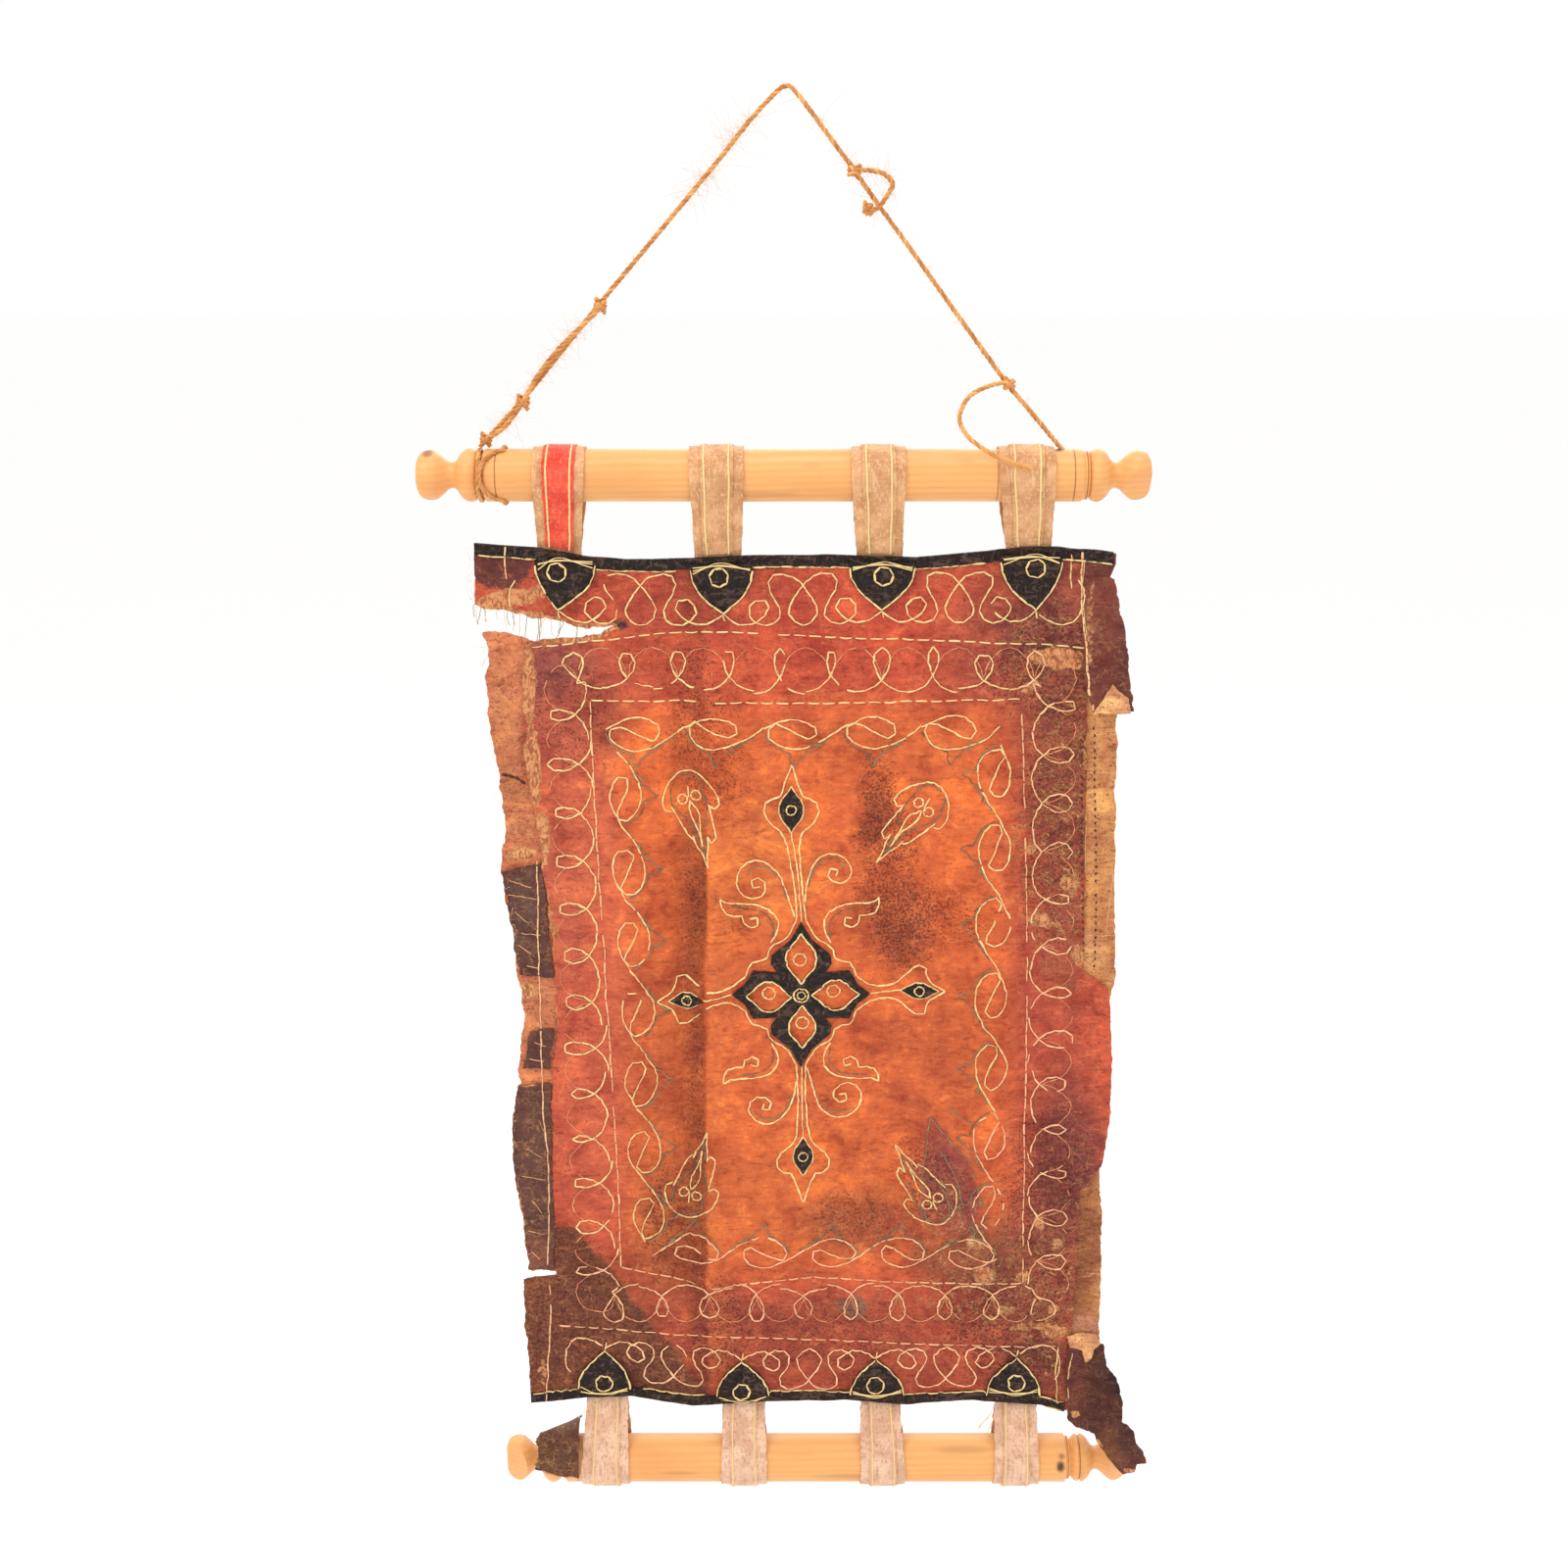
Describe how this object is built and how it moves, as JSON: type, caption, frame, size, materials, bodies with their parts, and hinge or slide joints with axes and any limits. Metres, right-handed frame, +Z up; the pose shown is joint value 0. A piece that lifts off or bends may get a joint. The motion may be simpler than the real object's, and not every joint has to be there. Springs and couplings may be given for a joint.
{
  "type": "leather wall hanging with wooden rods",
  "caption": "Old dyed leather wall hanging with stitched borders, hung by leather straps between turned wooden rods, with a twine hanging cord.",
  "frame": {"origin": "top of the hanging cord's loop, where it lies over a nail", "axes": "+Z up along the drop, +X to the viewer's right along the rods, +Y towards the wall"},
  "size_m": [0.586, 0.0516, 1.1485],
  "materials": {
    "pine": "worn clear finish",
    "panel_leather": "aged, waxed and crazed",
    "black_leather": "creased, faint sheen",
    "maroon_leather": "dry, cracked",
    "tan_leather": "suede, worn",
    "strap_leather": "dry, matt",
    "pale_strap": "dry, frayed",
    "red_strip": "dyed, wrinkled",
    "twine": "hairy plant fibre"
  },
  "bodies": {
    "root": {"panel": "panel_leather", "border_strip_left": "tan_leather", "border_strip_right": "tan_leather", "dark_patch_1": "maroon_leather", "dark_patch_2": "maroon_leather", "dark_patch_3": "maroon_leather", "binding_top": "black_leather", "binding_bottom": "black_leather", "shield_top_1": "black_leather", "shield_top_2": "black_leather", "shield_top_3": "black_leather", "shield_top_4": "black_leather", "shield_bottom_1": "black_leather", "shield_bottom_2": "black_leather", "shield_bottom_3": "black_leather", "shield_bottom_4": "black_leather", "medallion": "black_leather", "bud_top": "black_leather", "bud_bottom": "black_leather", "bud_left": "black_leather", "bud_right": "black_leather", "flap_top_right": "maroon_leather", "flap_bottom_right": "maroon_leather", "flap_on_rod": "maroon_leather", "strap_top_1": "strap_leather", "strap_top_2": "strap_leather", "strap_top_3": "strap_leather", "strap_top_4": "strap_leather", "strip_top_2": "strap_leather", "strip_top_3": "strap_leather", "strip_top_4": "strap_leather", "strip_top_1": "red_strip", "strap_bottom_1": "pale_strap", "strap_bottom_2": "pale_strap", "strap_bottom_3": "pale_strap", "strap_bottom_4": "pale_strap", "strip_bottom_1": "pale_strap", "strip_bottom_2": "pale_strap", "strip_bottom_3": "pale_strap", "strip_bottom_4": "pale_strap", "rod_top": "pine", "rod_bottom": "pine", "cord_main": "twine", "cord_tail_left": "twine", "cord_knot_loop": "twine", "cord_loop_right": "twine", "cord_turns": "twine"}
  },
  "joints": []
}
